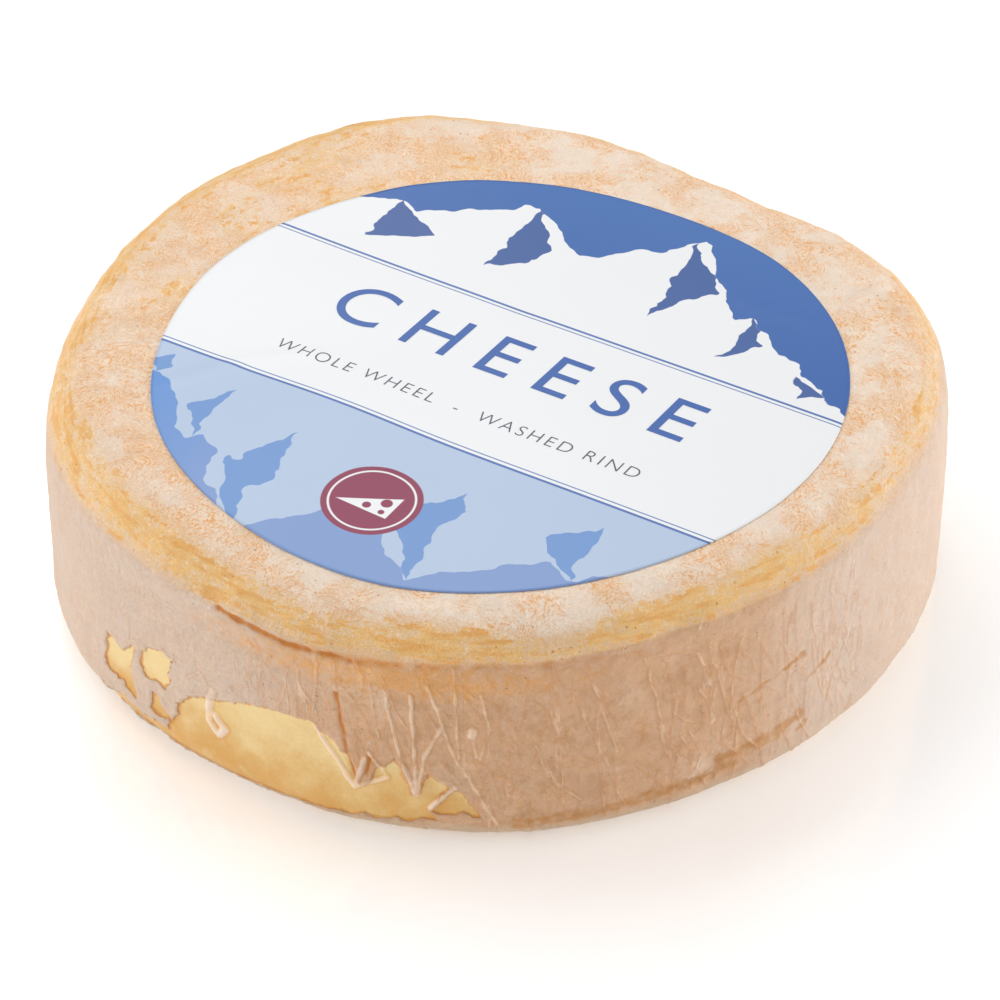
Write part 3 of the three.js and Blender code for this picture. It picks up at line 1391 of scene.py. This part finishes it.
@dataclass(frozen=True)
class PaperFinish:
    """Coated label paper, offset printed.

    The clay coating is smooth and satin, so the print keeps clean edges and a soft sheen,
    and a fine even tooth shows only close up.
    """

    white: str = "#EDEEF0"
    sky: str = "#4470B2"
    sky_deep: str = "#3A64AA"
    facet: str = "#44639F"
    line: str = "#4A70B0"
    lake: str = "#7E9ACD"
    lake_deep: str = "#5B8FD2"
    lake_peak: str = "#B3C5DE"
    lake_facet: str = "#6D95CE"
    seal: str = "#8C2C50"
    roughness: float = 0.4
    bleed: float = 0.12

    def over(self, add: Callable, value: object, limit: object) -> bpy.types.NodeSocket:
        """Is one where a value passes a limit, with an edge as soft as ink on paper.

        Args:
            add: Adds a node to the material.
            value: The value.
            limit: The limit.

        Returns:
            The share, from zero to one.
        """
        margin = add("Math", (value, limit), operation="SUBTRACT")
        return add("MapRange", (margin, -self.bleed, self.bleed))

    def printed(self, add: Callable, under: object, layers: Iterable[tuple]) -> bpy.types.NodeSocket:
        """Prints colours over one another.

        Args:
            add: Adds a node to the material.
            under: The lowest colour.
            layers: Each layer's colour and its share.

        Returns:
            The mixed colour.
        """
        for colour, share in layers:
            under = add("Mix", {0: share, 6: under, 7: colour}, data_type="RGBA")
        return under

    def mountains(
        self, add: Callable, art: Artwork, along: object, rise: object, shake: object
    ) -> tuple[bpy.types.NodeSocket, bpy.types.NodeSocket]:
        """Draws a plain mountain range.

        Args:
            add: Adds a node to the material.
            art: The layout.
            along: Places along the band.
            rise: Heights over the band.
            shake: A jagged noise in millimetres.

        Returns:
            How far inside the range a place is, and how far inside a shaded flank.
        """
        snow, flanks = -99.0, -99.0
        jagged = add("Math", (rise, shake), operation="ADD")
        for place, height, slope in art.peaks:
            sideways = add("Math", (along, place), operation="SUBTRACT")
            run = add("Math", (sideways,), operation="ABSOLUTE")
            top = add("Math", (run, -slope, height), operation="MULTIPLY_ADD")
            inside = add("Math", (top, jagged), operation="SUBTRACT")
            snow = add("Math", (snow, inside), operation="MAXIMUM")

            # A flank hangs to one side of the peak's spine, widest a third of the way down.
            drop = add("Math", (height, rise), operation="SUBTRACT")
            spine = add("Math", (drop, 0.12, shake), operation="MULTIPLY_ADD")
            off_spine = add("Math", (sideways, spine), operation="SUBTRACT")
            left = add("Math", (height * 0.72, drop), operation="SUBTRACT")
            width = add("Math", (left, drop), operation="MINIMUM")
            width = add("Math", (width, 0.62 / slope), operation="MULTIPLY")
            right = add("Math", (width, off_spine), operation="SUBTRACT")
            flank = add("Math", (off_spine, right), operation="MINIMUM")
            flanks = add("Math", (flanks, flank), operation="MAXIMUM")
        return snow, flanks

    def seal_layers(self, add: Callable, art: Artwork, plan: object) -> list[tuple]:
        """Draws a round seal with a plain wedge of cheese on it.

        Args:
            add: Adds a node to the material.
            art: The layout.
            plan: The place on the artwork's plan.

        Returns:
            The layers to print.
        """
        place = add("VectorMath", (plan, (*art.seal, 0.0)), operation="SUBTRACT")
        reach = add("VectorMath", (place,), output="Value", operation="LENGTH")
        ring = add("Math", (reach, art.seal_radius - 2.0), operation="SUBTRACT")
        ring = add("Math", (ring,), operation="ABSOLUTE")
        wedge = 99.0
        for normal, offset in (((0.0, -1.0, 0.0), 4.2), ((1.0, 0.0, 0.0), 7.0), ((-0.5, 0.87, 0.0), 0.6)):
            depth = add("VectorMath", (place, normal), output="Value", operation="DOT_PRODUCT")
            depth = add("Math", (offset, depth), operation="SUBTRACT")
            wedge = add("Math", (wedge, depth), operation="MINIMUM")
        for hole, radius in (((4.0, 1.0, 0.0), 1.6), ((-0.2, -2.2, 0.0), 1.2), ((4.6, -2.6, 0.0), 0.9)):
            away = add("VectorMath", (place, hole), output="Value", operation="DISTANCE")
            away = add("Math", (away, radius), operation="SUBTRACT")
            wedge = add("Math", (wedge, away), operation="MINIMUM")
        return [
            (self.seal, self.over(add, art.seal_radius, reach)),
            (self.white, self.over(add, 0.3, ring)),
            (self.white, self.over(add, wedge, 0.0)),
        ]

    def build(self, art: Artwork) -> bpy.types.Material:
        """Builds the printed paper.

        Args:
            art: The layout.

        Returns:
            The material.
        """
        material = empty_material("coated_label_paper")
        add = partial(add_node, material.node_tree)
        plan = add("Attribute", output="Vector", attribute_name="plan")
        along = add("SeparateXYZ", (plan,), output="X")
        across = add("SeparateXYZ", (plan,), output="Y")
        shake = add("TexNoise", {"Vector": plan, "Scale": 1 / 13, "Detail": 2.5, "Roughness": 0.5})
        shake = add("Math", (shake, 16.0, -8.0), operation="MULTIPLY_ADD")

        low, high = art.band
        above = add("Math", (across, high), operation="SUBTRACT")
        below = add("Math", (low, across), operation="SUBTRACT")
        flipped = add("Math", (-6.0, along), operation="SUBTRACT")
        snow, flank = self.mountains(add, art, along, above, shake)
        lake_snow, lake_flank = self.mountains(add, art, flipped, below, shake)
        fade = add("MapRange", (above, 5.0, 66.0))
        sky = self.printed(add, self.sky_deep, ((self.sky, fade),))
        fade = add("MapRange", (along, -82.0, -30.0))
        lake = self.printed(add, self.lake_deep, ((self.lake, fade),))
        on_snow = self.over(add, snow, 0.0)
        on_flank = add("Math", (self.over(add, flank, 0.0), on_snow), operation="MULTIPLY")
        in_lake = self.over(add, lake_snow, 0.0)
        in_flank = add("Math", (self.over(add, lake_flank, 0.0), in_lake), operation="MULTIPLY")
        lower = self.printed(
            add, lake, ((self.lake_peak, in_lake), (self.lake_facet, in_flank))
        )
        on_band = self.over(add, across, low)
        on_band = add("Math", (on_band, self.over(add, high, across)), operation="MULTIPLY")
        layers = [
            (self.white, on_snow),
            (self.facet, on_flank),
            (lower, self.over(add, low, across)),
            (self.white, on_band),
        ]
        for place, width in ((high, 0.42), (high - 1.6, 0.2), (low, 0.42), (low + 1.6, 0.2)):
            away = add("Math", (across, place), operation="SUBTRACT")
            away = add("Math", (away,), operation="ABSOLUTE")
            layers.append((self.line, self.over(add, width, away)))
        layers += self.seal_layers(add, art, plan)

        tooth = add("TexNoise", {"Vector": plan, "Scale": 2.2, "Detail": 2.0})
        swell = add("TexNoise", {"Vector": plan, "Scale": 1 / 30, "Detail": 2.0})
        height = add("Math", (tooth, 0.015), operation="MULTIPLY")
        height = add("Math", (swell, 0.7, height), operation="MULTIPLY_ADD")
        shader = add(
            "BsdfPrincipled",
            {
                "Base Color": self.printed(add, sky, layers),
                "Roughness": self.roughness,
                "IOR": 1.5,
                "Specular IOR Level": 0.45,
                "Normal": add("Bump", {"Height": height, "Strength": 0.5, "Distance": MM}),
            },
        )
        add("OutputMaterial", {"Surface": shader})
        return material


# --- Stage -------------------------------------------------------------------------------


@dataclass(frozen=True)
class Camera:
    """The camera, which looks along +Y and down.

    Attributes:
        aim: The place on the floor at the middle of the view, in millimetres.
        elevation: Its height over the horizon in degrees.
        distance: How far it stands from its aim, in millimetres.
        lens: Its focal length in millimetres on a 36 mm sensor.
    """

    aim: tuple[float, float, float] = (0.5, 22.4, 0.0)
    elevation: float = 37.0
    distance: float = 904.0
    lens: float = 108.0

    def build(self) -> None:
        """Makes the camera and gives it to the scene."""
        lens = bpy.data.cameras.new("camera")
        lens.lens = self.lens
        lens.sensor_width = 36.0
        lens.clip_start, lens.clip_end = 0.01, 50.0
        camera = bpy.data.objects.new("camera", lens)
        bpy.context.scene.collection.objects.link(camera)
        tilt = math.radians(self.elevation)
        back = Vector((0.0, -math.cos(tilt), math.sin(tilt)))
        camera.location = (Vector(self.aim) + back * self.distance) * MM
        camera.rotation_euler = (math.pi / 2 - tilt, 0.0, 0.0)
        bpy.context.scene.camera = camera


@dataclass(frozen=True)
class SoftBox:
    """One soft area light.

    Attributes:
        name: Its name.
        place: Where it stands, in metres.
        size: Its width and height in metres.
        power: Its power in watts.
        colour: The tint of its light.
    """

    name: str
    place: tuple[float, float, float]
    size: tuple[float, float]
    power: float
    colour: str = "#FFFFFF"

    def build(self) -> None:
        """Makes the light, facing the wheel."""
        light = bpy.data.lights.new(self.name, "AREA")
        light.shape = "RECTANGLE"
        light.size, light.size_y = self.size
        light.energy = self.power
        light.color = linear(self.colour)[:3]
        lamp = bpy.data.objects.new(self.name, light)
        bpy.context.scene.collection.objects.link(lamp)
        lamp.location = self.place
        away = Vector(self.place) - Vector((0, 0, LIT_HEIGHT))
        lamp.rotation_euler = away.to_track_quat("Z", "Y").to_euler()


@dataclass
class Studio:
    """A glossy white light table under soft light."""

    floor_half: float = 6.0
    boxes: tuple[SoftBox, ...] = (
        SoftBox("top_box", (-0.5, 0.75, 1.35), (1.6, 1.2), 13.5),
        SoftBox("left_box", (-1.45, -0.45, 0.6), (1.2, 1.0), 9.0),
        SoftBox("right_box", (1.5, 0.1, 0.45), (1.2, 0.8), 14.0),
        SoftBox("front_box", (0.2, -1.7, 0.8), (1.8, 0.9), 3.0),
    )

    def build(self) -> None:
        """Makes the floor, the lights and the surroundings."""
        shape = bmesh.new()
        bmesh.ops.create_grid(shape, x_segments=1, y_segments=1, size=self.floor_half)
        floor = finish_mesh(shape, "table_top")
        material = bpy.data.materials.new("opal_acrylic_sheet")
        material.use_nodes = True
        shader = material.node_tree.nodes["Principled BSDF"]
        shader.inputs["Base Color"].default_value = linear("#FBFBFB")
        shader.inputs["Roughness"].default_value = 0.1
        shader.inputs["IOR"].default_value = 2.1
        shader.inputs["Emission Color"].default_value = linear("#FFFFFF")
        shader.inputs["Emission Strength"].default_value = 0.22
        floor.data.materials.append(material)
        for box in self.boxes:
            box.build()
        world = bpy.data.worlds.new("studio_air")
        bpy.context.scene.world = world
        world.use_nodes = True
        air = world.node_tree.nodes["Background"]
        air.inputs["Color"].default_value = linear("#FFFFFF")
        air.inputs["Strength"].default_value = 0.42
        view = bpy.context.scene.view_settings
        view.view_transform = "Standard"
        view.look = "None"


def main() -> None:
    """Builds the camera, the stage, the rind and the label."""
    logging.basicConfig(level=logging.INFO, format="%(name)s %(message)s")
    Camera().build()
    Studio().build()
    rind = Rind().build(RindFinish())
    Label().build(rind, PaperFinish())


if __name__ == "__main__":
    main()
